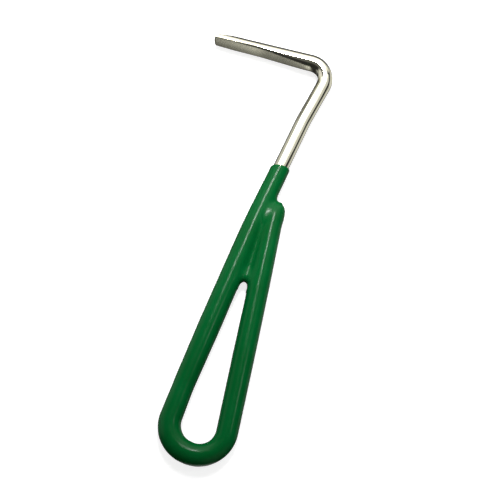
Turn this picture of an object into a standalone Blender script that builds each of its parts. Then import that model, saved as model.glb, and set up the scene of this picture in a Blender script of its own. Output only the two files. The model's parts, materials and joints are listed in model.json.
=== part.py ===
"""Hoof pick with a dipped handle.

One length of round steel bar makes the hook, the shank and the loop of the handle.
The bar's free end comes back beside the shank, where two weld beads close the loop.
A dipped skin of vinyl covers the loop, the welds and the lower end of the shank.

The tool lies flat: +Y runs from the handle to the hook, the hook points to -X, and +Z is up.
The tables are a flat drawing in millimetres, with its zero on the shank's axis at the edge
of the vinyl. An empty carries the whole drawing to the frame's origin, which is below the
middle of the tool, on the surface that it lies on.
"""

import itertools
import math

import bmesh
import bpy
from mathutils import Matrix, Vector

MM = 0.001

# The bar: its bends as corners of the centreline, each with the radius that rounds it.
BAR_RADIUS = 3.0
FREE_END = (6.2, -17.6)
HOOK_TIP = (-47.35, 41.3)
BAR_CORNERS = (
    (6.2, -21.2, 30.0),  # the return leg splays away from the shank
    (27.45, -115.4, 10.2),  # the two corners of the loop
    (4.3, -115.3, 10.4),
    (2.7, -93.0, 30.0),  # a slight knee above the loop
    (0.0, -25.0, 300.0),  # the leg runs on into the shank
    (0.0, 22.0, 40.0),  # the shank leans out before the hook
    (1.6, 48.2, 7.4),  # the hook
)
BEND_STEP = math.radians(7.0)
LONGEST_STRAIGHT = 12.0

# The hook is pressed flat on its inner side, and its back stays round. Each table goes by the
# distance from the tip. Inwards is from the bar's axis towards the hook's inner side.
FLAT_INWARDS = (
    (20.0, 1.6),
    (27.0, 1.95),
    (36.0, 2.5),
    (40.0, 2.75),
    (43.0, 2.65),
    (46.0, 2.45),  # the inside of the bend is drawn in to a tight corner
    (49.0, 2.75),
    (53.0, 3.0),
    (60.0, 3.0),
)
WIDEST_INWARDS = ((20.0, 1.55), (27.0, 1.2), (38.0, 0.8), (50.0, 0.3), (60.0, 0.0))
BACK_OUTWARDS = ((12.0, 2.5), (30.0, 2.9), (42.0, 3.2), (60.0, 3.0))
HALF_WIDTHS = ((0.0, 3.6), (8.0, 4.0), (20.0, 4.15), (44.0, 4.1), (50.0, 3.75), (60.0, 3.0))
RING_POINTS = 32
FLAT_POINTS = 8  # of those, the ones across the flat

# The back is ground to a chisel at the tip, and the cut edges are broken.
CHISEL_LENGTH = 10.5
TIP_THICKNESS = 1.7
EDGE_BREAK = 0.25
EDGE_ANGLE = math.radians(32.0)

# The vinyl's outer radius, at distances along the bar from its free end.
GAP = 0.3  # between pieces that touch on the real tool
VINYL_RADII = (
    (0.0, 3.75),
    (25.0, 4.10),
    (60.0, 4.20),
    (95.0, 4.05),
    (115.0, 4.35),
    (132.0, 4.05),
    (160.0, 4.35),
    (195.0, 4.15),
    (222.0, 3.75),
    (240.0, 3.60),
)
VINYL_SIDES = 24
VINYL_OVER_END = 4.2  # beyond the bar's free end
VINYL_DOME = (6.2, 3.0)  # the length of that rounded end, and how far it narrows
VINYL_RIM = (0.35, 0.35)  # the same at the edge on the shank
ABOVE_RIM = 6.0

# Vinyl fills the narrow end of the loop: a web that thins out towards a rounded crotch.
WEB_TOPS = (-11.0, -15.5)  # on the shank and on the return leg
WEB_HALF_THICKNESS = ((-51.0, 1.4), (-30.0, 2.4), (-20.0, 2.8), (-11.0, 2.2))
CROTCH_CENTRE = (6.9, -50.8)
CROTCH_RADIUS = 2.7

# The weld beads, one in the groove on each face, and the vinyl that covers them.
BEAD_CENTRE = (3.1, -20.4, 2.0)
BEAD_HALF_SIZE = (2.1, 3.4, 0.9)
BEAD_COVER = 0.9

STEEL = {"colour": (0.80, 0.78, 0.66, 1.0), "metallic": 1.0, "roughness": 0.12}
WELD = {"colour": (0.42, 0.40, 0.38, 1.0), "metallic": 1.0, "roughness": 0.45}
VINYL = {"colour": (0.0, 0.09, 0.02, 1.0), "metallic": 0.0, "roughness": 0.2}


# ---------------------------------------------------------------- scene helpers


def clear_scene():
    for obj in list(bpy.data.objects):
        bpy.data.objects.remove(obj)


def new_collection(name):
    collection = bpy.data.collections.new(name)
    bpy.context.scene.collection.children.link(collection)
    return collection


def principled(name, finish):
    material = bpy.data.materials.new(name)
    material.use_nodes = True
    shader = material.node_tree.nodes["Principled BSDF"]
    shader.inputs["Base Color"].default_value = finish["colour"]
    shader.inputs["Metallic"].default_value = finish["metallic"]
    shader.inputs["Roughness"].default_value = finish["roughness"]
    return material


def mesh_object(name, bm, collection):
    """An object that holds the bmesh, which is in millimetres, at its real size."""
    bmesh.ops.scale(bm, vec=(MM, MM, MM), verts=bm.verts)
    bmesh.ops.recalc_face_normals(bm, faces=bm.faces)
    mesh = bpy.data.meshes.new(name)
    bm.to_mesh(mesh)
    bm.free()
    obj = bpy.data.objects.new(name, mesh)
    collection.objects.link(obj)
    return obj


def as_mesh(curve_object):
    """The curve's evaluated shape as a mesh object of the same name, with its caps welded on."""
    bpy.context.view_layer.update()
    graph = bpy.context.evaluated_depsgraph_get()
    mesh = bpy.data.meshes.new_from_object(curve_object.evaluated_get(graph))
    bm = bmesh.new()
    bm.from_mesh(mesh)
    bmesh.ops.remove_doubles(bm, verts=bm.verts, dist=0.001 * MM)
    bmesh.ops.recalc_face_normals(bm, faces=bm.faces)
    bm.to_mesh(mesh)
    bm.free()
    name = curve_object.name
    collection = curve_object.users_collection[0]
    matrix = curve_object.matrix_world.copy()
    bpy.data.objects.remove(curve_object)
    obj = bpy.data.objects.new(name, mesh)
    obj.matrix_world = matrix
    collection.objects.link(obj)
    return obj


def boolean(obj, other, operation, crosses_itself=False):
    modifier = obj.modifiers.new(f"{operation.lower()} {other.name}", "BOOLEAN")
    modifier.object = other
    modifier.operation = operation
    modifier.solver = "EXACT"
    modifier.use_self = crosses_itself


def hide_cutters(cutters):
    for obj in cutters.objects:
        obj.hide_render = True
        obj.display_type = "WIRE"


def shade_round(obj):
    obj.data.shade_smooth()
    obj.data.set_sharp_from_angle(angle=math.radians(35.0))


def between(table, position):
    """The value at a position, read from a table of (position, value) pairs."""
    for (low, first), (high, last) in zip(table, table[1:]):
        if position <= high:
            share = max(position - low, 0.0) / (high - low)
            return first + share * (last - first)
    return table[-1][1]


# ---------------------------------------------------------------- the bar's centreline


class Station:
    """A place on the bar's centreline: where it is, which way the bar runs and how far along."""

    def __init__(self, place, heading):
        self.place = place
        self.heading = heading.normalized()
        self.along = 0.0


def bend(before, corner, after, radius):
    """Stations round an arc that touches both legs of a corner."""
    arriving = (corner - before).normalized()
    leaving = (after - corner).normalized()
    turn = arriving.angle_signed(leaving)
    to_left = Vector((-arriving.y, arriving.x)) * (1.0 if turn < 0.0 else -1.0)
    start = corner - arriving * radius * math.tan(abs(turn) / 2.0)
    centre = start + to_left * radius
    steps = max(2, math.ceil(abs(turn) / BEND_STEP))
    stations = []
    for step in range(steps + 1):
        turned = Matrix.Rotation(-turn * step / steps, 2)
        stations.append(Station(centre + turned @ (start - centre), turned @ arriving))
    return stations


def centreline(start, corners, end):
    """Stations along the whole bar, with none further apart than the longest straight."""
    outline = [Vector(start)] + [Vector(c[:2]) for c in corners] + [Vector(end)]
    turns = [Station(outline[0], outline[1] - outline[0])]
    for i, (_, _, radius) in enumerate(corners, start=1):
        turns += bend(outline[i - 1], outline[i], outline[i + 1], radius)
    turns.append(Station(outline[-1], outline[-1] - outline[-2]))

    stations = [turns[0]]
    for station in turns[1:]:
        last = stations[-1]
        span = station.place - last.place
        pieces = math.ceil(span.length / LONGEST_STRAIGHT)
        for piece in range(1, pieces):
            stations.append(Station(last.place + span * piece / pieces, span))
        stations.append(station)
    for last, station in zip(stations, stations[1:]):
        station.along = last.along + (station.place - last.place).length
    return stations


def below_rim(stations):
    """The stations inside the vinyl. The shank is the only stretch that rises past its rim."""
    return list(itertools.takewhile(lambda station: station.place.y < 0.0, stations))


# ---------------------------------------------------------------- the steel bar


def bar_ring(station, from_tip):
    """The bar's section at a station: round, or flattened towards the hook's inner side."""
    flat = between(FLAT_INWARDS, from_tip)
    widest = between(WIDEST_INWARDS, from_tip)
    back = between(BACK_OUTWARDS, from_tip)
    half_width = between(HALF_WIDTHS, from_tip)
    edge = math.acos(min(1.0, (flat - widest) / (BAR_RADIUS - widest)))
    edge = max(edge, math.pi * FLAT_POINTS / RING_POINTS)
    back_points = RING_POINTS - FLAT_POINTS

    inwards = Vector((-station.heading.y, station.heading.x))
    ring = []
    for i in range(RING_POINTS):
        if i < FLAT_POINTS:
            angle = edge * (2.0 * i / FLAT_POINTS - 1.0)
        else:
            angle = edge + (math.tau - 2.0 * edge) * (i - FLAT_POINTS) / back_points
        reach = BAR_RADIUS - widest if math.cos(angle) > 0.0 else back + widest
        inward = min(widest + reach * math.cos(angle), flat)
        place = station.place + inwards * inward
        ring.append(Vector((place.x, place.y, half_width * math.sin(angle))))
    return ring


def loft(rings):
    """A closed skin over rings that have the same number of points."""
    bm = bmesh.new()
    rows = [[bm.verts.new(point) for point in ring] for ring in rings]
    for row, following in zip(rows, rows[1:]):
        for i in range(len(row)):
            j = (i + 1) % len(row)
            bm.faces.new((row[i], row[j], following[j], following[i]))
    bm.faces.new(rows[0])
    bm.faces.new(rows[-1])
    return bm


def chisel_cutter(tip, cutters):
    """A block whose lower face grinds the back of the blade down towards the tip."""
    towards_handle = Vector((-tip.heading.y, tip.heading.x))
    flat_inwards = FLAT_INWARDS[0][1]
    flat = tip.place + towards_handle * flat_inwards
    blade_thickness = flat_inwards + BACK_OUTWARDS[0][1]
    slope = math.atan2(blade_thickness - TIP_THICKNESS, CHISEL_LENGTH)
    along_face = Matrix.Rotation(slope, 2) @ -tip.heading
    away = Vector((-along_face.y, along_face.x))
    size = Vector((3.0 * CHISEL_LENGTH, 2.0 * blade_thickness, 4.0 * HALF_WIDTHS[0][1]))
    centre = flat - towards_handle * TIP_THICKNESS + away * size.y / 2.0
    bm = bmesh.new()
    bmesh.ops.create_cube(bm, size=1.0)
    bmesh.ops.scale(bm, vec=size, verts=bm.verts)
    turn = Matrix.Rotation(math.atan2(along_face.y, along_face.x), 4, "Z")
    bmesh.ops.transform(bm, matrix=turn, verts=bm.verts)
    bmesh.ops.translate(bm, vec=centre.to_3d(), verts=bm.verts)
    return mesh_object("chisel_cutter", bm, cutters)


def steel_bar(stations, parts, cutters):
    total = stations[-1].along
    rings = [bar_ring(station, total - station.along) for station in stations]
    bar = mesh_object("steel_bar", loft(rings), parts)
    boolean(bar, chisel_cutter(stations[-1], cutters), "DIFFERENCE")
    broken_edges = bar.modifiers.new("broken edges", "BEVEL")
    broken_edges.width = EDGE_BREAK * MM
    broken_edges.segments = 1
    broken_edges.limit_method = "ANGLE"
    broken_edges.angle_limit = EDGE_ANGLE
    return bar


# ---------------------------------------------------------------- tubes that follow the bar


def tube(name, points, radii, collection):
    """A round tube through flat points, with its own radius at each, as a closed mesh."""
    curve = bpy.data.curves.new(name, "CURVE")
    curve.dimensions = "3D"
    curve.bevel_depth = 1.0
    curve.bevel_resolution = VINYL_SIDES // 2 - 2
    curve.use_fill_caps = True
    spline = curve.splines.new("POLY")
    spline.points.add(len(points) - 1)
    for spot, point, radius in zip(spline.points, points, radii):
        spot.co = (point.x * MM, point.y * MM, 0.0, 1.0)
        spot.radius = radius * MM
    obj = bpy.data.objects.new(name, curve)
    collection.objects.link(obj)
    return as_mesh(obj)


def rounded_end(place, heading, radius, rounding):
    """Points and radii that round off the end of a tube, from the end inwards."""
    length, narrowing = rounding
    points = []
    radii = []
    for degrees in (0.0, 22.0, 44.0, 66.0):
        angle = math.radians(degrees)
        points.append(place + heading * length * (1.0 - math.cos(angle)))
        radii.append(radius - narrowing * (1.0 - math.sin(angle)))
    return points, radii


def vinyl_skin(stations, collection):
    """The outside of the vinyl, from beyond the bar's free end to the rim on the shank."""
    first = stations[0]
    dome_start = first.place - first.heading * VINYL_OVER_END
    points, radii = rounded_end(dome_start, first.heading, VINYL_RADII[0][1], VINYL_DOME)
    dome_end = VINYL_DOME[0] - VINYL_OVER_END
    for station in below_rim(stations):
        if station.along > dome_end:
            points.append(station.place)
            radii.append(between(VINYL_RADII, station.along))
    down = Vector((0.0, -1.0))
    rim, rim_radii = rounded_end(Vector((0.0, 0.0)), down, VINYL_RADII[-1][1], VINYL_RIM)
    points += reversed(rim)
    radii += reversed(rim_radii)
    return tube("vinyl_grip", points, radii, collection)


def bar_clearance(stations, cutters):
    """The bar with the gap added all round, which hollows the vinyl and trims the beads."""
    first = stations[0]
    points = [first.place - first.heading * GAP]
    points += [station.place for station in below_rim(stations)]
    points.append(Vector((0.0, ABOVE_RIM)))
    return tube("bar_clearance", points, [BAR_RADIUS + GAP] * len(points), cutters)


# ---------------------------------------------------------------- welds and web


def ellipsoid(name, half_size, centre, collection):
    bm = bmesh.new()
    bmesh.ops.create_uvsphere(bm, u_segments=20, v_segments=12, radius=1.0)
    bmesh.ops.scale(bm, vec=half_size, verts=bm.verts)
    bmesh.ops.translate(bm, vec=centre, verts=bm.verts)
    return mesh_object(name, bm, collection)


def grown(half_size, by):
    return tuple(side + by for side in half_size)


def leg_lines(stations):
    """The x of the left leg and of the return leg at a height, each as a function of it."""
    inside = below_rim(stations)
    lowest = min(range(len(inside)), key=lambda i: inside[i].place.y)
    tables = (
        sorted((station.place.y, station.place.x) for station in inside[lowest:]),
        sorted((station.place.y, station.place.x) for station in inside[:lowest]),
    )
    return [lambda height, table=table: between(table, height) for table in tables]


def web(stations, cutters):
    """A plate between the legs' centrelines, from the free end to the rounded crotch."""
    left_leg, return_leg = leg_lines(stations)
    centre = Vector(CROTCH_CENTRE)
    shank_top, return_top = WEB_TOPS
    outline = [Vector((left_leg(shank_top), shank_top)), Vector((left_leg(centre.y), centre.y))]
    for degrees in range(170, 5, -20):
        outline.append(centre + Matrix.Rotation(math.radians(degrees), 2) @ Vector((CROTCH_RADIUS, 0.0)))
    outline.append(Vector((return_leg(centre.y), centre.y)))
    outline.append(Vector((return_leg(return_top), return_top)))

    curve = bpy.data.curves.new("web", "CURVE")
    curve.dimensions = "2D"
    curve.fill_mode = "BOTH"
    curve.extrude = MM
    spline = curve.splines.new("POLY")
    spline.points.add(len(outline) - 1)
    for spot, point in zip(spline.points, outline):
        spot.co = (point.x * MM, point.y * MM, 0.0, 1.0)
    spline.use_cyclic_u = True
    plate = bpy.data.objects.new("web", curve)
    cutters.objects.link(plate)
    plate = as_mesh(plate)
    for vertex in plate.data.vertices:
        vertex.co.z *= between(WEB_HALF_THICKNESS, vertex.co.y / MM)
    return plate


# ---------------------------------------------------------------- the whole tool


def vinyl_grip(stations, clearance, parts, cutters):
    """The vinyl: a skin along the bar, filled out by the web and hollowed for the steel."""
    grip = vinyl_skin(stations, parts)
    boolean(grip, web(stations, cutters), "UNION", crosses_itself=True)
    x, y, z = BEAD_CENTRE
    for side in (1.0, -1.0):
        cover = ellipsoid("bead_cover", grown(BEAD_HALF_SIZE, BEAD_COVER), (x, y, side * z), cutters)
        boolean(grip, cover, "UNION")
    boolean(grip, clearance, "DIFFERENCE", crosses_itself=True)
    for side in (1.0, -1.0):
        room = ellipsoid("bead_room", grown(BEAD_HALF_SIZE, GAP), (x, y, side * z), cutters)
        boolean(grip, room, "DIFFERENCE")
    return grip


def weld_beads(clearance, parts):
    x, y, z = BEAD_CENTRE
    beads = []
    for name, side in (("front_weld_bead", 1.0), ("back_weld_bead", -1.0)):
        bead = ellipsoid(name, BEAD_HALF_SIZE, (x, y, side * z), parts)
        boolean(bead, clearance, "DIFFERENCE", crosses_itself=True)
        beads.append(bead)
    return beads


def set_down(root, pieces):
    """Moves the tool so that the origin is below its middle, on the surface it lies on."""
    bpy.context.view_layer.update()
    graph = bpy.context.evaluated_depsgraph_get()
    corners = [
        piece.matrix_world @ Vector(corner)
        for piece in pieces
        for corner in piece.evaluated_get(graph).bound_box
    ]
    low = Vector([min(corner[axis] for corner in corners) for axis in range(3)])
    high = Vector([max(corner[axis] for corner in corners) for axis in range(3)])
    root.location = (-(low.x + high.x) / 2.0, -(low.y + high.y) / 2.0, -low.z)


def main():
    clear_scene()
    parts = new_collection("hoof_pick")
    cutters = new_collection("cutters")
    stations = centreline(FREE_END, BAR_CORNERS, HOOK_TIP)

    bar = steel_bar(stations, parts, cutters)
    clearance = bar_clearance(stations, cutters)
    beads = weld_beads(clearance, parts)
    grip = vinyl_grip(stations, clearance, parts, cutters)
    hide_cutters(cutters)

    bar.data.materials.append(principled("plated_steel", STEEL))
    grip.data.materials.append(principled("green_vinyl", VINYL))
    weld_metal = principled("weld_metal", WELD)
    for bead in beads:
        bead.data.materials.append(weld_metal)

    root = bpy.data.objects.new("tool_frame", None)
    parts.objects.link(root)
    pieces = [bar, grip] + beads
    for piece in pieces:
        shade_round(piece)
    for obj in pieces + list(cutters.objects):
        obj.parent = root
    set_down(root, pieces)


main()
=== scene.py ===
"""The looks of the hoof pick: a plated steel bar with a dipped vinyl grip, in a soft studio.

Shapes are worked out in millimetres on the part's flat drawing, whose zero is on the shank's
axis at the edge of the vinyl, with +Y towards the hook and the blade pointing to -X. The
record's hanging_loop mount, which is a known point of that drawing, carries them to the frame.
"""

import json
import math

import bmesh
import bpy
import numpy as np
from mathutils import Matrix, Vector

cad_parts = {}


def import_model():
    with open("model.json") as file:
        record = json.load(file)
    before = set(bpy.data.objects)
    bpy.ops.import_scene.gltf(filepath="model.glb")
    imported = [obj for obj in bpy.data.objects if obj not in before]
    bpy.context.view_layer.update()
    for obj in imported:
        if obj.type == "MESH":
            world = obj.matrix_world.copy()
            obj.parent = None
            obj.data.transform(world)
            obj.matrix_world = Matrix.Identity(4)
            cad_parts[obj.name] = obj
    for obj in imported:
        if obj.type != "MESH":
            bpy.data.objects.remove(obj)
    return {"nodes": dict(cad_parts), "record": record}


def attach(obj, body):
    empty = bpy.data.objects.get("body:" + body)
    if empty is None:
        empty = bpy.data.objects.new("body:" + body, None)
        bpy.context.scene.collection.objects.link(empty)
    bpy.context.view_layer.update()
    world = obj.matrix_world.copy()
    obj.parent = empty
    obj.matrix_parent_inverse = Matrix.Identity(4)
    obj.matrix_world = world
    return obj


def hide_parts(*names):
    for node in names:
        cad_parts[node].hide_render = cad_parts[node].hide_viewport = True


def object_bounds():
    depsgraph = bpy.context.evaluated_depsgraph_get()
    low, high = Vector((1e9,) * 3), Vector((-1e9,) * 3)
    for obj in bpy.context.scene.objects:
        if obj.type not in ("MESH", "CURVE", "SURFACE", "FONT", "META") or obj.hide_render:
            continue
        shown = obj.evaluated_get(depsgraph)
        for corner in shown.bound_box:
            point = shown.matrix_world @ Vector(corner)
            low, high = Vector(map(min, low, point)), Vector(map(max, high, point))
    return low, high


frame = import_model()
cad_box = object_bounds()

MM = 0.001
LOOP_MOUNT = np.array((14.3, -108.5, 0.0))  # where the hanging_loop mount is on the drawing

# The bar's centreline: its ends, and its corners with the radius that rounds each.
BAR_RADIUS = 2.98
FREE_END = (6.2, -17.6)
HOOK_TIP = (-47.35, 41.3)
BAR_CORNERS = (
    (6.2, -21.2, 30.0),
    (27.45, -115.4, 10.2),
    (4.3, -115.3, 10.4),
    (2.7, -93.0, 30.0),
    (0.0, -25.0, 300.0),
    (0.0, 22.0, 40.0),
    (1.6, 48.2, 7.4),
)
BEND_STEP = math.radians(2.0)
BOTTOM_PIECE = 4  # of the straights and bends in order, the one across the loop's bottom
RIM_PIECE = 10  # and the one that passes through the vinyl's rim

# The hook's section, which is pressed flat on its inner side. Each row is a distance from the
# tip and a distance from the bar's axis: of the flat, of the widest place (both on the inner
# side), of the back, and of the two edges.
FLAT_INWARDS = (
    (20.0, 1.58),
    (27.0, 1.93),
    (36.0, 2.55),
    (40.0, 2.80),
    (43.0, 2.70),
    (46.0, 2.43),  # the inside of the bend is drawn in to a tight corner
    (49.0, 2.73),
    (53.0, 2.98),
)
WIDEST_INWARDS = ((20.0, 1.5), (27.0, 1.2), (38.0, 0.8), (50.0, 0.3), (60.0, 0.0))
BACK_OUTWARDS = ((12.0, 2.48), (30.0, 2.88), (42.0, 3.18), (60.0, 2.98))
HALF_WIDTHS = ((0.0, 3.58), (8.0, 3.98), (20.0, 4.13), (44.0, 4.08), (50.0, 3.73), (60.0, 2.98))
CORNER_ROUNDING = (
    (0.0, 0.2),
    (8.0, 0.3),
    (12.0, 0.6),
    (16.0, 0.9),
    (22.0, 1.15),
    (28.0, 1.35),
    (34.0, 1.5),
    (40.0, 1.6),
    (46.0, 1.7),
    (51.0, 2.0),
    (60.0, 3.0),
)
TABLE_BLEND = 2.0  # the tables' corners are smoothed over this distance to each side
BLUR_PER_ROUNDING = 0.55
LEAST_ROUNDING = 0.05  # the share that is left where the bar is round again
PRESSED_END = (40.0, 54.0)  # from the tip, where the pressed shape starts to fade and is gone
FLAT_CROWN = 0.20
CHISEL_LENGTH = 10.5
TIP_THICKNESS = 1.65
TIP_ROUNDING = 0.22
TIP_CROWN = (0.35, 2.5)  # how far the end's corners lie back, and where that has faded out

# The dull finish on the flat, again by distances from the tip.
DULL_HALF_WIDTHS = (
    (20.0, 4.2),
    (27.0, 3.9),
    (36.0, 3.7),
    (41.0, 3.6),
    (45.0, 3.3),
    (48.0, 2.2),
    (50.5, 0.5),
    (51.5, 0.0),
)
DULL_DEPTH = 0.30  # how far below the flat's edge it reaches
DULL_BORDERS = (0.12, 0.4)  # how softly it ends, in depth and in width
DULL_SHIFT = 0.9  # how far it lies below the middle, past the run on the next line
DULL_SHIFT_RUN = (22.0, 28.0)
DULL_END = 0.5  # from the tip, the end face is bright

# How finely the bar is drawn.
DENSE_SAMPLES = 1440
SECTION_POINTS = 160
HIDDEN_STEP = 2.0
BARE_START = 118.0  # from the tip
BARE_STEP = 0.45
BLADE_START = 14.0
BLADE_STEP = 0.3
END_CAP_INSET = 0.4
HEADING_REACH = 0.25
MERGE_METRES = 1e-7

# The vinyl: the radius of its room for the bar, and its outer radius by the distance along the
# bar from the free end.
SKIN_INSIDE = 3.0
VINYL_RADII = (
    (0.0, 3.72),
    (25.0, 4.06),
    (60.0, 4.16),
    (95.0, 4.01),
    (115.0, 4.30),
    (132.0, 4.00),
    (160.0, 4.30),
    (195.0, 4.11),
    (222.0, 3.74),
    (240.0, 3.60),
)
DOME_TIP_RADIUS = 1.0
DOME_REACH = 4.3
DOME_LENGTH = 6.4
LIP_LENGTH = 0.8
LIP_CURVE = 2.4
LIP_TUCK = 0.05  # the lip ends this far under the skin's inside, so that no gap shows
RIM_SLANT = 0.20  # how far the rim rises for each step to the right
RIM_RISE = 0.02  # the rim's cut lies this far above the drawing's zero
RIM_CUT_FROM = -5.0  # up the drawing, the cut applies only above this
SHANK_FROM = 150.0  # and only from this far along the bar
SIDE_TOP = 4.0  # up the drawing, the web's left side is needed up to here
RIM_GRIP = 0.5  # how far the rim reaches into the bar, so that its edge is not paper thin
RIM_GRIP_RUN = (1.8, 0.6)  # before the rim, where that starts and where it is full
LEG_BLEND = 1.8
LEG_BLEND_RUN = (-60.0, -46.0)  # up the drawing, where the two legs start to run together

# The web in the loop's narrow end: its top edge from left to right, and its thickness up the
# drawing.
WEB_TOPS = ((0.0, -10.6), (6.2, -15.2))
WEB_HALF_THICKNESS = (
    (-51.0, 2.1),
    (-46.0, 2.05),
    (-42.5, 1.3),
    (-32.0, 1.2),
    (-24.0, 1.65),
    (-19.0, 1.75),
    (-11.0, 1.1),
)
WEB_ROUNDING = 0.95  # of its half thickness
WEB_BLEND = 2.2
CROTCH_CENTRE = (6.9, -50.8)
CROTCH_RADIUS = 2.7

# The vinyl over each weld bead, and the room inside it.
BEAD_CENTRE = (3.1, -20.4, 2.0)
BEAD_HALF_SIZE = (2.1, 3.4, 0.9)
BEAD_COVER = 0.2
BEAD_COVER_SHIFT = 0.3  # the cover's crest lies above the bead, towards the shank
BEAD_BLEND = 1.4
BEAD_ROOM = 0.05
CAVITY_BLEND = 1.2  # wide, so that no slivers of vinyl reach between the bars and the beads

# The waves in the dipped skin: how high the slow ones and the quick ones are, and what the
# skin is thinner by all over.
WAVE_HEIGHTS = (0.020, 0.008)
WAVE_BASE = 0.02

# The grid that the vinyl is drawn from, and how its points are moved onto the surface.
CELL = 0.395
GRID_X = (-6.5, 30.0)
GRID_Y = (-121.0, -2.2, 1.4)  # the last stretch, round the rim, has finer cells
RIM_CELLS = 3.0
GRID_Z = 5.2
SETTLE_ROUNDS = 5
SETTLE_PROBE = 0.02
SETTLE_REACH = 0.15
LEAST_SLOPE = 0.2  # squared


def smooth_step(value):
    value = np.clip(value, 0.0, 1.0)
    return value * value * (3.0 - 2.0 * value)


def smooth_run(run, position):
    """From 0 at the run's start to 1 at its end."""
    start, end = run
    return smooth_step((position - start) / (end - start))


def table_value(table, position):
    return np.interp(position, [row[0] for row in table], [row[1] for row in table])


def blended_value(table, position):
    """The value at a position, averaged a little to each side so that slopes have no corners."""
    return table_value(table, position + np.linspace(-TABLE_BLEND, TABLE_BLEND, 9)).mean()


def soft_min(a, b, width):
    """The smaller of two values, blended over a width where they cross."""
    overlap = np.maximum(width - np.abs(a - b), 0.0) / np.maximum(width, 1e-9)
    return np.minimum(a, b) - overlap * overlap * width / 4.0


# ---------------------------------------------------------------- the bar's centreline


class Straight:
    """A straight stretch of the centreline."""

    def __init__(self, start, end):
        self.start = start
        self.step = end - start
        self.length = self.step.length

    def points(self):
        return [self.start, self.start + self.step]

    def share(self, x, y):
        """How far along the stretch lies nearest to a flat place, from 0 to 1."""
        dx, dy = self.step
        along = (x - self.start.x) * dx + (y - self.start.y) * dy
        return np.clip(along / self.length**2, 0.0, 1.0)

    def place(self, share):
        return self.start.x + share * self.step.x, self.start.y + share * self.step.y


class Bend:
    """An arc that touches both legs of a corner, with the same methods as a straight."""

    def __init__(self, before, corner, after, radius):
        arriving = (corner - before).normalized()
        leaving = (after - corner).normalized()
        self.turn = -arriving.angle_signed(leaving)  # counterclockwise
        to_centre = Vector((-arriving.y, arriving.x)) * math.copysign(1.0, self.turn)
        start = corner - arriving * radius * math.tan(abs(self.turn) / 2.0)
        self.centre = start + to_centre * radius
        self.radius = radius
        self.first = math.atan2(start.y - self.centre.y, start.x - self.centre.x)
        self.length = radius * abs(self.turn)

    def points(self):
        steps = max(4, math.ceil(abs(self.turn) / BEND_STEP))
        return [Vector(self.place(step / steps)) for step in range(steps + 1)]

    def share(self, x, y):
        turned = np.arctan2(y - self.centre.y, x - self.centre.x) - self.first - self.turn / 2.0
        turned = (turned + math.pi) % math.tau - math.pi
        return np.clip(0.5 + turned / self.turn, 0.0, 1.0)

    def place(self, share):
        angle = self.first + share * self.turn
        x = self.centre.x + self.radius * np.cos(angle)
        y = self.centre.y + self.radius * np.sin(angle)
        return x, y


def bar_pieces():
    """The centreline as straights and bends, from the free end to the hook's tip."""
    outline = [Vector(FREE_END)] + [Vector(c[:2]) for c in BAR_CORNERS] + [Vector(HOOK_TIP)]
    pieces = []
    last = outline[0]
    for i, (_, _, radius) in enumerate(BAR_CORNERS, start=1):
        turn = Bend(outline[i - 1], outline[i], outline[i + 1], radius)
        pieces += [Straight(last, Vector(turn.place(0.0))), turn]
        last = Vector(turn.place(1.0))
    return pieces + [Straight(last, outline[-1])]


class Line:
    """A flat line through points, which can be read at any distance along it."""

    def __init__(self, points):
        steps = np.linalg.norm(np.diff(points, axis=0), axis=1)
        keep = np.concatenate(([True], steps > 1e-6))
        self.points = points[keep]
        steps = np.linalg.norm(np.diff(self.points, axis=0), axis=1)
        self.along = np.concatenate(([0.0], np.cumsum(steps)))
        self.total = self.along[-1]

    def place(self, along):
        columns = [np.interp(along, self.along, self.points[:, i]) for i in (0, 1)]
        return np.stack(columns, axis=-1)

    def heading(self, along):
        ahead = self.place(np.minimum(along + HEADING_REACH, self.total))
        behind = self.place(np.maximum(along - HEADING_REACH, 0.0))
        step = ahead - behind
        return step / np.linalg.norm(step, axis=-1, keepdims=True)


PIECES = bar_pieces()
LINE = Line(np.array([tuple(point) for piece in PIECES for point in piece.points()]))


# ---------------------------------------------------------------- pieces


def to_frame(points):
    """Drawing millimetres to the frame's metres."""
    mount = next(m for m in frame["record"]["mounts"] if m["name"] == "hanging_loop")
    return (np.asarray(points) - LOOP_MOUNT) * MM + np.array(mount["pos_m"])


def new_piece(name, points, faces, slot, *nodes):
    mesh = bpy.data.meshes.new(name)
    mesh.from_pydata(to_frame(points).tolist(), [], [tuple(map(int, face)) for face in faces])
    mesh.validate()
    mesh.shade_smooth()
    obj = bpy.data.objects.new(name, mesh)
    bpy.context.scene.collection.objects.link(obj)
    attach(obj, "root")
    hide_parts(*nodes)
    return obj


# ---------------------------------------------------------------- the steel bar


def bar_section(from_tip):
    """The section's outline as (inward, up) pairs, and how far each is on the dull flat."""
    tables = (FLAT_INWARDS, WIDEST_INWARDS, BACK_OUTWARDS, HALF_WIDTHS, CORNER_ROUNDING)
    flat, widest, back, half_width, corner = (blended_value(t, from_tip) for t in tables)
    pressed = 1.0 - smooth_run(PRESSED_END, from_tip)
    angle = np.linspace(0.0, math.tau, DENSE_SAMPLES, endpoint=False)
    reach = np.where(np.cos(angle) > 0.0, BAR_RADIUS - widest, back + widest)
    crowned = flat - FLAT_CROWN * pressed * np.sin(angle) ** 2
    inward = np.minimum(widest + reach * np.cos(angle), crowned)
    slope = (BACK_OUTWARDS[0][1] + FLAT_INWARDS[0][1] - TIP_THICKNESS) / CHISEL_LENGTH
    inward = np.maximum(inward, flat - TIP_THICKNESS - max(from_tip, 0.0) * slope)
    outline = np.stack((inward, half_width * np.sin(angle)), axis=1)
    outline = rounded(outline, corner * max(pressed, LEAST_ROUNDING))
    return outline, dull_share(outline, flat, from_tip)


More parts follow.
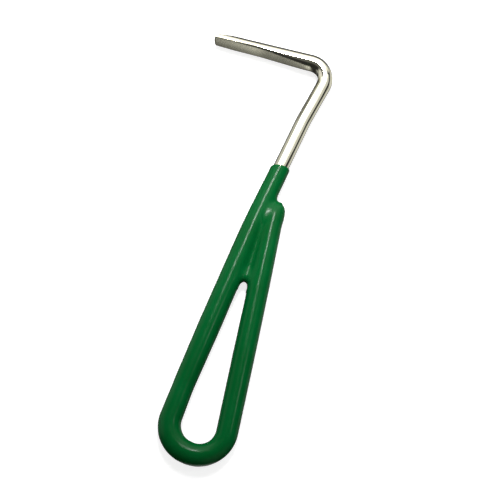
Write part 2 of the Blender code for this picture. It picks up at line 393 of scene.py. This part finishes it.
def dull_share(outline, flat, from_tip):
    depth_border, width_border = DULL_BORDERS
    share = smooth_step((outline[:, 0] - flat + FLAT_CROWN + DULL_DEPTH) / depth_border)
    middle = -DULL_SHIFT * smooth_run(DULL_SHIFT_RUN, from_tip)
    from_edge = blended_value(DULL_HALF_WIDTHS, from_tip) - np.abs(outline[:, 1] - middle)
    return share * smooth_step(from_edge / width_border)


def rounded(outline, rounding):
    """A closed outline with its corners rounded, as evenly spaced points.

    The outline is blurred along its length, and then stretched back to the size it had.
    """
    closed = np.vstack((outline, outline[:1]))
    along = np.concatenate(([0.0], np.cumsum(np.linalg.norm(np.diff(closed, axis=0), axis=1))))
    even = np.arange(SECTION_POINTS) * along[-1] / SECTION_POINTS
    points = np.interp(even, along, closed[:, 0]) + 1j * np.interp(even, along, closed[:, 1])
    waves = math.tau * np.fft.fftfreq(SECTION_POINTS, along[-1] / SECTION_POINTS)
    kept = np.exp(-0.5 * (waves * BLUR_PER_ROUNDING * rounding) ** 2)
    blurred = np.fft.ifft(np.fft.fft(points) * kept)
    shape = np.stack((blurred.real, blurred.imag), axis=1)
    low, high = shape.min(0), shape.max(0)
    return outline.min(0) + (shape - low) * (outline.max(0) - outline.min(0)) / (high - low)


def bar_ring(along, inset=0.0, shrink=1.0):
    """The bar's ring of points at a distance along it, and the dull share of each."""
    from_tip = LINE.total - along
    outline, share = bar_section(from_tip)
    middle = (outline.max(0) + outline.min(0)) / 2.0
    arm = outline - middle
    length = np.linalg.norm(arm, axis=1, keepdims=True)
    outline = middle + arm * np.maximum(1.0 - inset / length, 0.0) * shrink
    heading = LINE.heading(along)
    inwards = np.array((-heading[1], heading[0]))
    crown, gone = TIP_CROWN
    back = crown * (outline[:, 1] / HALF_WIDTHS[0][1]) ** 2 * max(0.0, 1.0 - from_tip / gone)
    place = LINE.place(along) + outline[:, :1] * inwards - back[:, None] * heading
    return np.column_stack((place, outline[:, 1])), share * (from_tip > DULL_END)


def bar_rings():
    """The rings of the whole bar, from its free end to the hook's tip."""
    end = LINE.total
    bare = np.arange(end - BARE_START, end - BLADE_START, BARE_STEP)
    alongs = np.concatenate((
        [END_CAP_INSET],
        np.arange(HIDDEN_STEP, bare[0], HIDDEN_STEP),
        bare,
        np.arange(bare[-1] + BLADE_STEP, end - TIP_ROUNDING, BLADE_STEP),
    ))
    rings = [bar_ring(0.0, shrink=0.0), bar_ring(0.0, shrink=0.6), bar_ring(0.0, END_CAP_INSET)]
    rings += [bar_ring(along) for along in alongs]
    for turned in np.radians((0.0, 30.0, 60.0, 90.0)):
        back = TIP_ROUNDING * (1.0 - math.sin(turned))
        rings.append(bar_ring(end - back, TIP_ROUNDING * (1.0 - math.cos(turned))))
    rings += [bar_ring(end, TIP_ROUNDING, shrink) for shrink in (0.85, 0.4)]
    return rings + [bar_ring(end, shrink=0.0)]


def ring_faces(count, around):
    """Quads between neighbouring rings."""
    return [
        (row * around + i, row * around + (i + 1) % around,
         (row + 1) * around + (i + 1) % around, (row + 1) * around + i)
        for row in range(count - 1)
        for i in range(around)
    ]


def steel_bar():
    rings, shares = zip(*bar_rings())
    faces = ring_faces(len(rings), SECTION_POINTS)
    bar = new_piece("plated_bar", np.concatenate(rings), faces, "plated_steel", "steel_bar")
    flat = bar.data.attributes.new("pressed_flat", "FLOAT", "POINT")
    flat.data.foreach_set("value", np.concatenate(shares).astype(np.float32))
    weld_ends(bar)
    return bar


def weld_ends(obj):
    """Merges each closing ring that was drawn down to a point, and turns the faces outwards."""
    bm = bmesh.new()
    bm.from_mesh(obj.data)
    bmesh.ops.remove_doubles(bm, verts=bm.verts, dist=MERGE_METRES)
    bmesh.ops.recalc_face_normals(bm, faces=bm.faces)
    bm.to_mesh(obj.data)
    bm.free()


# ---------------------------------------------------------------- the vinyl as a distance field


def nearest_on(pieces, x, y):
    """The distance from flat places to a run of the centreline, and the distance along it."""
    best = np.full(x.shape, np.inf)
    where = np.zeros(x.shape)
    for start, piece in pieces:
        share = piece.share(x, y)
        near_x, near_y = piece.place(share)
        distance = np.hypot(x - near_x, y - near_y)
        closer = distance < best
        best = np.where(closer, distance, best)
        where = np.where(closer, start + share * piece.length, where)
    return best, where


def ellipsoid(x, y, z, half):
    """About the distance to an ellipsoid."""
    a, b, c = half
    scaled = np.sqrt((x / a) ** 2 + (y / b) ** 2 + (z / c) ** 2)
    steeper = np.sqrt((x / a**2) ** 2 + (y / b**2) ** 2 + (z / c**2) ** 2)
    return scaled * (scaled - 1.0) / np.maximum(steeper, 1e-6)


def bead_shape(x, y, z, growth, rise=0.0):
    """About the distance to the two weld beads, grown by some millimetres and moved up."""
    bx, by, bz = BEAD_CENTRE
    half = [side + growth for side in BEAD_HALF_SIZE]
    return ellipsoid(x - bx, y - by - rise, np.abs(z) - bz, half)


def unevenness(x, y, z):
    """The slight waves that a dipped skin dries with."""
    slow = np.sin(0.43 * y + 0.9 * x) * np.cos(0.71 * x - 0.21 * y + 0.8 * z)
    quick = np.sin(1.1 * y + 0.5 * z) * np.sin(0.9 * x + 0.7 * z + 0.4)
    return WAVE_HEIGHTS[0] * slow + WAVE_HEIGHTS[1] * quick + WAVE_BASE


class Grip:
    """The vinyl's shape as a field that is negative inside it and positive outside."""

    def __init__(self):
        starts = np.concatenate(([0.0], np.cumsum([piece.length for piece in PIECES])))
        run = list(zip(starts, PIECES))
        self.start = DOME_TIP_RADIUS - DOME_REACH
        first = Vector(FREE_END)
        upwards = (first - Vector(BAR_CORNERS[0][:2])).normalized()
        beyond = first - upwards * self.start
        self.right = [(self.start, Straight(beyond, first))] + run[: BOTTOM_PIECE + 1]
        self.left = run[BOTTOM_PIECE : RIM_PIECE + 1]
        self.rim = starts[RIM_PIECE] - PIECES[RIM_PIECE].start.y
        lowest = int(LINE.points[:, 1].argmin())
        in_vinyl = LINE.points[lowest:, 1] < SIDE_TOP
        self.right_side = LINE.points[: lowest + 1][::-1]
        self.left_side = LINE.points[lowest:][in_vinyl]

    def radius(self, along, x=0.0):
        """The outer radius, with the dome over the bar's free end and the lip at the rim."""
        radius = table_value(VINYL_RADII, along)
        dome = np.clip((self.start + DOME_LENGTH - along) / DOME_LENGTH, 0.0, 1.0)
        radius = DOME_TIP_RADIUS + (radius - DOME_TIP_RADIUS) * np.sqrt(1.0 - dome**2)
        lip = np.clip((along - RIM_SLANT * x - self.rim + LIP_LENGTH) / LIP_LENGTH, 0.0, 1.0)
        drop = radius - SKIN_INSIDE + LIP_TUCK
        return radius - drop * (1.0 - np.sqrt(np.maximum(1.0 - lip**LIP_CURVE, 0.0)))

    def flat_fields(self, x, y):
        """What depends only on the flat place, kept apart because height is cheap to add."""
        right, right_along = nearest_on(self.right, x, y)
        left, left_along = nearest_on(self.left, x, y)
        crotch = CROTCH_RADIUS - np.hypot(x - CROTCH_CENTRE[0], y - CROTCH_CENTRE[1])
        (x0, y0), (x1, y1) = WEB_TOPS
        length = math.hypot(x1 - x0, y1 - y0)
        top = ((y - y0) * (x1 - x0) - (x - x0) * (y1 - y0)) / length
        left_x = np.interp(y, self.left_side[:, 1], self.left_side[:, 0])
        right_x = np.interp(y, self.right_side[:, 1], self.right_side[:, 0])
        sides = np.maximum(left_x - x, x - right_x)
        below = CROTCH_CENTRE[1] - y
        web = np.maximum(np.maximum(crotch, below), np.maximum(top, sides))
        return right, right_along, left, left_along, web, table_value(WEB_HALF_THICKNESS, y)

    def web_plate(self, web, half, z):
        """The web as a plate with round edges."""
        rounding = half * WEB_ROUNDING
        out_flat = web + rounding
        out_up = np.abs(z) - half + rounding
        plate = np.hypot(np.maximum(out_flat, 0.0), np.maximum(out_up, 0.0)) - rounding
        return plate + np.minimum(np.maximum(out_flat, out_up), 0.0)

    def body(self, fields, x, y, z):
        """The vinyl as if it were solid."""
        right, right_along, left, left_along, web, half = fields
        left_tube = np.sqrt(left**2 + z**2) - self.radius(left_along, x)
        right_tube = np.sqrt(right**2 + z**2) - self.radius(right_along)
        joined = LEG_BLEND * smooth_run(LEG_BLEND_RUN, y)
        legs = soft_min(left_tube, right_tube, joined + 1e-6)
        body = soft_min(legs, self.web_plate(web, half, z), WEB_BLEND)
        body = soft_min(body, bead_shape(x, y, z, BEAD_COVER, BEAD_COVER_SHIFT), BEAD_BLEND)
        return body + unevenness(x, y, z)

    def cavity(self, fields, x, y, z):
        """The room inside it for the bar and the beads."""
        right, _, left, left_along, _, _ = fields
        start, full = RIM_GRIP_RUN
        grip = RIM_GRIP * smooth_run((self.rim - start, self.rim - full), left_along)
        left_bar = np.hypot(left, z) - SKIN_INSIDE + grip
        below_end = FREE_END[1] + BEAD_ROOM - y
        right_bar = -soft_min(SKIN_INSIDE - np.hypot(right, z), below_end, CAVITY_BLEND)
        bars = soft_min(left_bar, right_bar, CAVITY_BLEND)
        return soft_min(bars, bead_shape(x, y, z, BEAD_ROOM), CAVITY_BLEND)

    def at(self, fields, x, y, z):
        """The field at some places, from their flat_fields."""
        left_along = fields[3]
        on_shank = (left_along > SHANK_FROM) & (y > RIM_CUT_FROM)
        above_rim = np.where(on_shank, y - RIM_SLANT * x - RIM_RISE, -1.0)
        skin = np.maximum(self.body(fields, x, y, z), -self.cavity(fields, x, y, z))
        return np.maximum(skin, above_rim)

    def value(self, places):
        x, y, z = places.T
        return self.at(self.flat_fields(x, y), x, y, z)


CELL_CORNERS = [(i, j, k) for i in (0, 1) for j in (0, 1) for k in (0, 1)]
CELL_EDGES = [
    (a, b)
    for a in CELL_CORNERS
    for b in CELL_CORNERS
    if a < b and sum(abs(p - q) for p, q in zip(a, b)) == 1
]


def surface_net(field, axes):
    """Points and quads over the field's zero surface, one point in each cell that it crosses."""
    inside = field < 0.0
    count = sum(inside[i : i - 1 or None, j : j - 1 or None, k : k - 1 or None].astype(np.int8)
                for i, j, k in CELL_CORNERS)
    cells = np.argwhere((count > 0) & (count < len(CELL_CORNERS)))
    index = np.full(count.shape, -1, np.int64)
    index[tuple(cells.T)] = np.arange(len(cells))
    return crossing_points(field, axes, cells), crossing_quads(inside, index)


def crossing_points(field, axes, cells):
    """The middle of the places where the surface crosses each cell's edges."""
    total = np.zeros((len(cells), 3))
    crossings = np.zeros(len(cells))
    for a, b in CELL_EDGES:
        cells_a = cells + a
        cells_b = cells + b
        field_a = field[tuple(cells_a.T)]
        field_b = field[tuple(cells_b.T)]
        crosses = (field_a < 0.0) != (field_b < 0.0)
        share = np.where(crosses, field_a / np.where(crosses, field_a - field_b, 1.0), 0.0)
        place_a = np.stack([axes[d][cells_a[:, d]] for d in range(3)], axis=1)
        place_b = np.stack([axes[d][cells_b[:, d]] for d in range(3)], axis=1)
        crossing = place_a + share[:, None] * (place_b - place_a)
        total += np.where(crosses[:, None], crossing, 0.0)
        crossings += crosses
    return total / crossings[:, None]


def crossing_quads(inside, index):
    """One quad for each of the grid's edges that the surface crosses, facing outwards."""
    quads = []
    for d in range(3):
        e, f = [(1, 2), (2, 0), (0, 1)][d]
        here = [slice(1, -1)] * 3
        here[d] = slice(0, -1)
        ahead = list(here)
        ahead[d] = slice(1, None)
        starts = np.argwhere(inside[tuple(here)] != inside[tuple(ahead)])
        starts += [0 if axis == d else 1 for axis in range(3)]
        outwards = inside[tuple(starts.T)]
        around = []
        for back_e, back_f in ((1, 1), (0, 1), (0, 0), (1, 0)):
            cell = starts.copy()
            cell[:, e] -= back_e
            cell[:, f] -= back_f
            around.append(index[tuple(cell.T)])
        quad = np.stack(around, axis=1)
        quads.append(np.where(outwards[:, None], quad, quad[:, ::-1]))
    return np.concatenate(quads)


def settle(points, shape):
    """Moves points onto the shape's surface, down the field's slope."""
    for _ in range(SETTLE_ROUNDS):
        value = shape(points)
        ahead = [shape(points + np.eye(3)[i] * SETTLE_PROBE) for i in range(3)]
        slope = np.stack([(there - value) for there in ahead], axis=1) / SETTLE_PROBE
        squared = np.maximum((slope**2).sum(1), LEAST_SLOPE)
        move = -slope * (value / squared)[:, None]
        length = np.linalg.norm(move, axis=1, keepdims=True)
        points = points + move * np.minimum(1.0, SETTLE_REACH / np.maximum(length, 1e-9))
    return points


def vinyl_grip():
    grip = Grip()
    low, rim_start, high = GRID_Y
    x = np.arange(*GRID_X, CELL)
    fine = np.arange(rim_start, high, CELL / RIM_CELLS)
    y = np.concatenate((np.arange(low, rim_start, CELL), fine))
    z = np.arange(-GRID_Z, GRID_Z + CELL, CELL)
    z = z - z.mean()
    flat = np.meshgrid(x, y, indexing="ij")
    fields = [field[:, :, None].astype(np.float32) for field in grip.flat_fields(*flat)]
    field = grip.at(fields, flat[0][:, :, None], flat[1][:, :, None], z[None, None, :])
    points, quads = surface_net(field.astype(np.float32), (x, y, z))
    points = settle(points, grip.value)
    return new_piece("vinyl_skin", points, quads, "green_vinyl", "vinyl_grip")


# ---------------------------------------------------------------- materials

PLATING_COLOURS = ((0.87, 0.845, 0.68, 1.0), (0.83, 0.80, 0.62, 1.0))
PLATING_ROUGHNESS = (0.04, 0.09)
PRESSED_COLOURS = ((0.86, 0.84, 0.66, 1.0), (0.66, 0.64, 0.49, 1.0))
PRESSED_ROUGHNESS = (0.12, 0.24)
VINYL_COLOURS = ((0.0, 0.078, 0.0145, 1.0), (0.0, 0.091, 0.019, 1.0))
VINYL_ROUGHNESS = (0.19, 0.27)
VINYL_SPECULAR = 0.09
WELD_COLOURS = ((0.42, 0.39, 0.36, 1.0), (0.25, 0.22, 0.21, 1.0))
WELD_ROUGHNESS = (0.35, 0.6)


def material(name):
    mat = bpy.data.materials.new(name)
    mat.use_nodes = True
    tree = mat.node_tree
    return mat, tree, tree.nodes["Principled BSDF"]


def node(tree, kind, inputs=None, **settings):
    """A shader node whose inputs, by name or number, are linked or set."""
    made = tree.nodes.new("ShaderNode" + kind)
    for key, value in settings.items():
        setattr(made, key, value)
    for key, value in (inputs or {}).items():
        if isinstance(value, bpy.types.NodeSocket):
            tree.links.new(value, made.inputs[key])
        else:
            made.inputs[key].default_value = value
    return made


def noise(tree, where, scale, detail):
    made = node(tree, "TexNoise", {"Vector": where, "Scale": scale, "Detail": detail})
    return made.outputs["Fac"]


def ramp(tree, value, low, high, ends=(0.0, 1.0)):
    """From the first end where the value is low to the second where it is high."""
    inputs = {0: value, 1: low, 2: high, 3: ends[0], 4: ends[1]}
    return node(tree, "MapRange", inputs, clamp=True).outputs[0]


def mix_colour(tree, factor, colours):
    inputs = {0: factor, 6: colours[0], 7: colours[1]}
    return node(tree, "Mix", inputs, data_type="RGBA").outputs[2]


def mix_value(tree, factor, a, b):
    return node(tree, "Mix", {0: factor, 2: a, 3: b}).outputs[0]


def math_node(tree, operation, a, b):
    return node(tree, "Math", {0: a, 1: b}, operation=operation).outputs[0]


def bump(tree, height, strength, distance, normal=None):
    inputs = {"Height": height, "Strength": strength, "Distance": distance}
    if normal is not None:
        inputs["Normal"] = normal
    return node(tree, "Bump", inputs).outputs[0]


def plated_steel():
    """Bright plating with faint clouds, dull and scuffed where the bar was pressed flat."""
    mat, tree, shader = material("plated_steel")
    where = node(tree, "TexCoord").outputs["Object"]
    pressed = node(tree, "Attribute", attribute_name="pressed_flat").outputs["Fac"]
    cloudy = noise(tree, where, 260.0, 3.0)
    fine = noise(tree, where, 1900.0, 2.0)
    bright = mix_colour(tree, ramp(tree, cloudy, 0.35, 0.7), PLATING_COLOURS)
    dull = mix_colour(tree, ramp(tree, fine, 0.35, 0.7), PRESSED_COLOURS)
    tree.links.new(mix_colour(tree, pressed, (bright, dull)), shader.inputs["Base Color"])
    shader.inputs["Metallic"].default_value = 1.0
    polish = ramp(tree, cloudy, 0.3, 0.7, PLATING_ROUGHNESS)
    worn = ramp(tree, fine, 0.3, 0.7, PRESSED_ROUGHNESS)
    tree.links.new(mix_value(tree, pressed, polish, worn), shader.inputs["Roughness"])
    ripple = bump(tree, noise(tree, where, 120.0, 1.0), 0.25, 0.00006)
    dents = bump(tree, math_node(tree, "MULTIPLY", fine, pressed), 0.5, 0.00004, ripple)
    tree.links.new(dents, shader.inputs["Normal"])
    return mat


def green_vinyl():
    """Glossy dipped vinyl with slight clouds, orange peel and slow waves."""
    mat, tree, shader = material("green_vinyl")
    where = node(tree, "TexCoord").outputs["Object"]
    cloudy = noise(tree, where, 90.0, 3.0)
    colour = mix_colour(tree, ramp(tree, cloudy, 0.35, 0.65), VINYL_COLOURS)
    tree.links.new(colour, shader.inputs["Base Color"])
    grain = noise(tree, where, 700.0, 2.0)
    tree.links.new(ramp(tree, grain, 0.3, 0.7, VINYL_ROUGHNESS), shader.inputs["Roughness"])
    shader.inputs["Specular IOR Level"].default_value = VINYL_SPECULAR
    peel = bump(tree, noise(tree, where, 900.0, 2.0), 0.08, 0.00006)
    waves = bump(tree, noise(tree, where, 160.0, 1.0), 0.15, 0.00010, peel)
    tree.links.new(waves, shader.inputs["Normal"])
    return mat


def weld_metal():
    """Rough, heat-tinted metal for the hidden beads."""
    mat, tree, shader = material("weld_metal")
    where = node(tree, "TexCoord").outputs["Object"]
    scale = noise(tree, where, 900.0, 3.0)
    tree.links.new(mix_colour(tree, scale, WELD_COLOURS), shader.inputs["Base Color"])
    shader.inputs["Metallic"].default_value = 1.0
    tree.links.new(ramp(tree, scale, 0.3, 0.7, WELD_ROUGHNESS), shader.inputs["Roughness"])
    tree.links.new(bump(tree, scale, 0.6, 0.0001), shader.inputs["Normal"])
    return mat


def dress(obj, mat):
    obj.data.materials.clear()
    obj.data.materials.append(mat)


# ---------------------------------------------------------------- studio

# The camera of the photo: how it is turned and how far off, in metres, and where it looks, in
# millimetres from the middle of the solids' box.
AZIMUTH = math.radians(24.5)
ELEVATION = math.radians(71.0)
DISTANCE = 0.45
TARGET_OFFSET = (12.387, -1.135, 0.0)
LENS = 85.0
SENSOR = 36.0

# Lights in metres: name, what it is aimed at, place, width, height, watts, and the angle in
# degrees that it shines into.
SOFTBOXES = (
    ("sky", (-0.175, 0.42, 0.0), (-0.175, 0.42, 0.28), 0.75, 0.60, 2.0, 180.0),
    ("key", (0.0, 0.055, 0.0), (-0.05, 0.185, 0.38), 0.06, 0.15, 0.185, 54.0),
    ("side", (0.031, -0.055, 0.004), (0.167, 0.027, 0.197), 0.022, 0.015, 0.05, 180.0),
    ("card", (0.010, 0.075, 0.004), (0.1446, 0.1647, 0.124), 0.127, 0.12, 0.028, 180.0),
)

# The rest of the studio, as the tool reflects it: soft round panels on a dark surround. Each
# has a direction, the angles from there at which it starts to fade and is gone, and a
# brightness. A direction is given to the right, to the far side and up, which are fixed in the
# frame and lie as the photo shows the tool.
RIGHT = Vector((0.91, 0.415, 0.0))
FAR = Vector((-0.415, 0.91, 0.0))
SURROUND = 0.025
PANELS = (
    ((0.0, 0.0, 1.0), 40.0, 80.0, 0.12),  # the ceiling
    ((0.0, 0.9, 0.50), 26.0, 35.0, 0.9),  # the wall behind
    ((-1.0, 0.33, 0.20), 14.0, 36.0, 0.75),  # the wall on the left
    ((-0.9, 0.3, -0.7), 10.0, 30.0, 0.36),  # the table's left side
    ((-0.72, 0.63, -0.10), 10.0, 28.0, 0.40),  # the far corner on the left
    ((0.85, 0.3, -0.45), 14.0, 35.0, 0.7),  # the table's right side
    ((0.0, -0.62, -0.78), 3.0, 23.0, 1.4),  # the table's near side
    ((0.0, -0.38, -0.92), 5.0, 24.0, 0.20),  # the table below the tool
    ((0.6, 0.75, 0.22), 12.0, 22.0, 0.9),  # the far corner on the right
    ((0.60, -0.90, 0.25), 18.0, 40.0, 0.45),  # the near corner on the right
)
PANEL_COLOUR = (1.0, 1.0, 0.985, 1.0)

# The pale floor and background, as the camera sees them and as they light the tool.
FLOOR_SIDE = 3.0
FLOOR_LIT = (0.30, 0.30, 0.30, 1.0)
FLOOR_SEEN = (0.46, 0.46, 0.46, 1.0)
FLOOR_GLOW = 0.79
BACKGROUND_SEEN = 0.9


def camera():
    low, high = cad_box
    target = (low + high) / 2.0 + Vector(TARGET_OFFSET) * MM
    back = Vector((
        math.sin(AZIMUTH) * math.cos(ELEVATION),
        -math.cos(AZIMUTH) * math.cos(ELEVATION),
        math.sin(ELEVATION),
    ))
    data = bpy.data.cameras.new("camera")
    data.lens = LENS
    data.sensor_width = SENSOR
    data.clip_start = 0.01
    data.clip_end = 20.0
    obj = bpy.data.objects.new("camera", data)
    obj.location = target + back * DISTANCE
    obj.rotation_euler = (-back).to_track_quat("-Z", "Y").to_euler()
    bpy.context.scene.collection.objects.link(obj)
    bpy.context.scene.camera = obj


def floor():
    mesh = bpy.data.meshes.new("floor")
    side = FLOOR_SIDE
    corners = [(-side, -side, 0), (side, -side, 0), (side, side, 0), (-side, side, 0)]
    mesh.from_pydata(corners, [], [(0, 1, 2, 3)])
    obj = bpy.data.objects.new("floor", mesh)
    bpy.context.scene.collection.objects.link(obj)
    mat, tree, shader = material("floor")
    seen = node(tree, "LightPath").outputs["Is Camera Ray"]
    tone = mix_colour(tree, seen, (FLOOR_LIT, FLOOR_SEEN))
    tree.links.new(tone, shader.inputs["Base Color"])
    shader.inputs["Roughness"].default_value = 1.0
    shader.inputs["Specular IOR Level"].default_value = 0.0
    shader.inputs["Emission Color"].default_value = (1.0, 1.0, 1.0, 1.0)
    glow = math_node(tree, "MULTIPLY", seen, FLOOR_GLOW)
    tree.links.new(glow, shader.inputs["Emission Strength"])
    mesh.materials.append(mat)
    obj.visible_glossy = False


def softbox(name, aim, place, width, height, power, spread):
    data = bpy.data.lights.new(name, "AREA")
    data.shape = "RECTANGLE"
    data.size = width
    data.size_y = height
    data.energy = power
    data.spread = math.radians(spread)
    obj = bpy.data.objects.new(name, data)
    obj.location = place
    obj.rotation_euler = (Vector(aim) - obj.location).to_track_quat("-Z", "Y").to_euler()
    bpy.context.scene.collection.objects.link(obj)


def world():
    made = bpy.data.worlds.new("studio")
    made.use_nodes = True
    tree = made.node_tree
    background = tree.nodes["Background"]
    looking = node(tree, "TexCoord").outputs["Generated"]
    level = SURROUND
    for (right, far, up), fading, gone, brightness in PANELS:
        aim = (RIGHT * right + FAR * far + Vector((0.0, 0.0, up))).normalized()
        facing = node(tree, "VectorMath", {0: looking, 1: aim}, operation="DOT_PRODUCT")
        edges = {1: math.cos(math.radians(gone)), 2: math.cos(math.radians(fading))}
        inputs = {0: facing.outputs["Value"], **edges, 3: 0.0, 4: brightness}
        panel = node(tree, "MapRange", inputs, interpolation_type="SMOOTHSTEP")
        level = math_node(tree, "ADD", level, panel.outputs[0])
    seen = node(tree, "LightPath").outputs["Is Camera Ray"]
    level = mix_value(tree, seen, level, BACKGROUND_SEEN)
    tree.links.new(level, background.inputs["Strength"])
    background.inputs["Color"].default_value = PANEL_COLOUR
    bpy.context.scene.world = made


def studio():
    bpy.context.scene.view_settings.view_transform = "Standard"
    world()
    floor()
    for row in SOFTBOXES:
        softbox(*row)


steel = plated_steel()
dress(steel_bar(), steel)
dress(vinyl_grip(), green_vinyl())
weld = weld_metal()
for name in ("front_weld_bead", "back_weld_bead"):
    dress(frame["nodes"][name], weld)
camera()
studio()
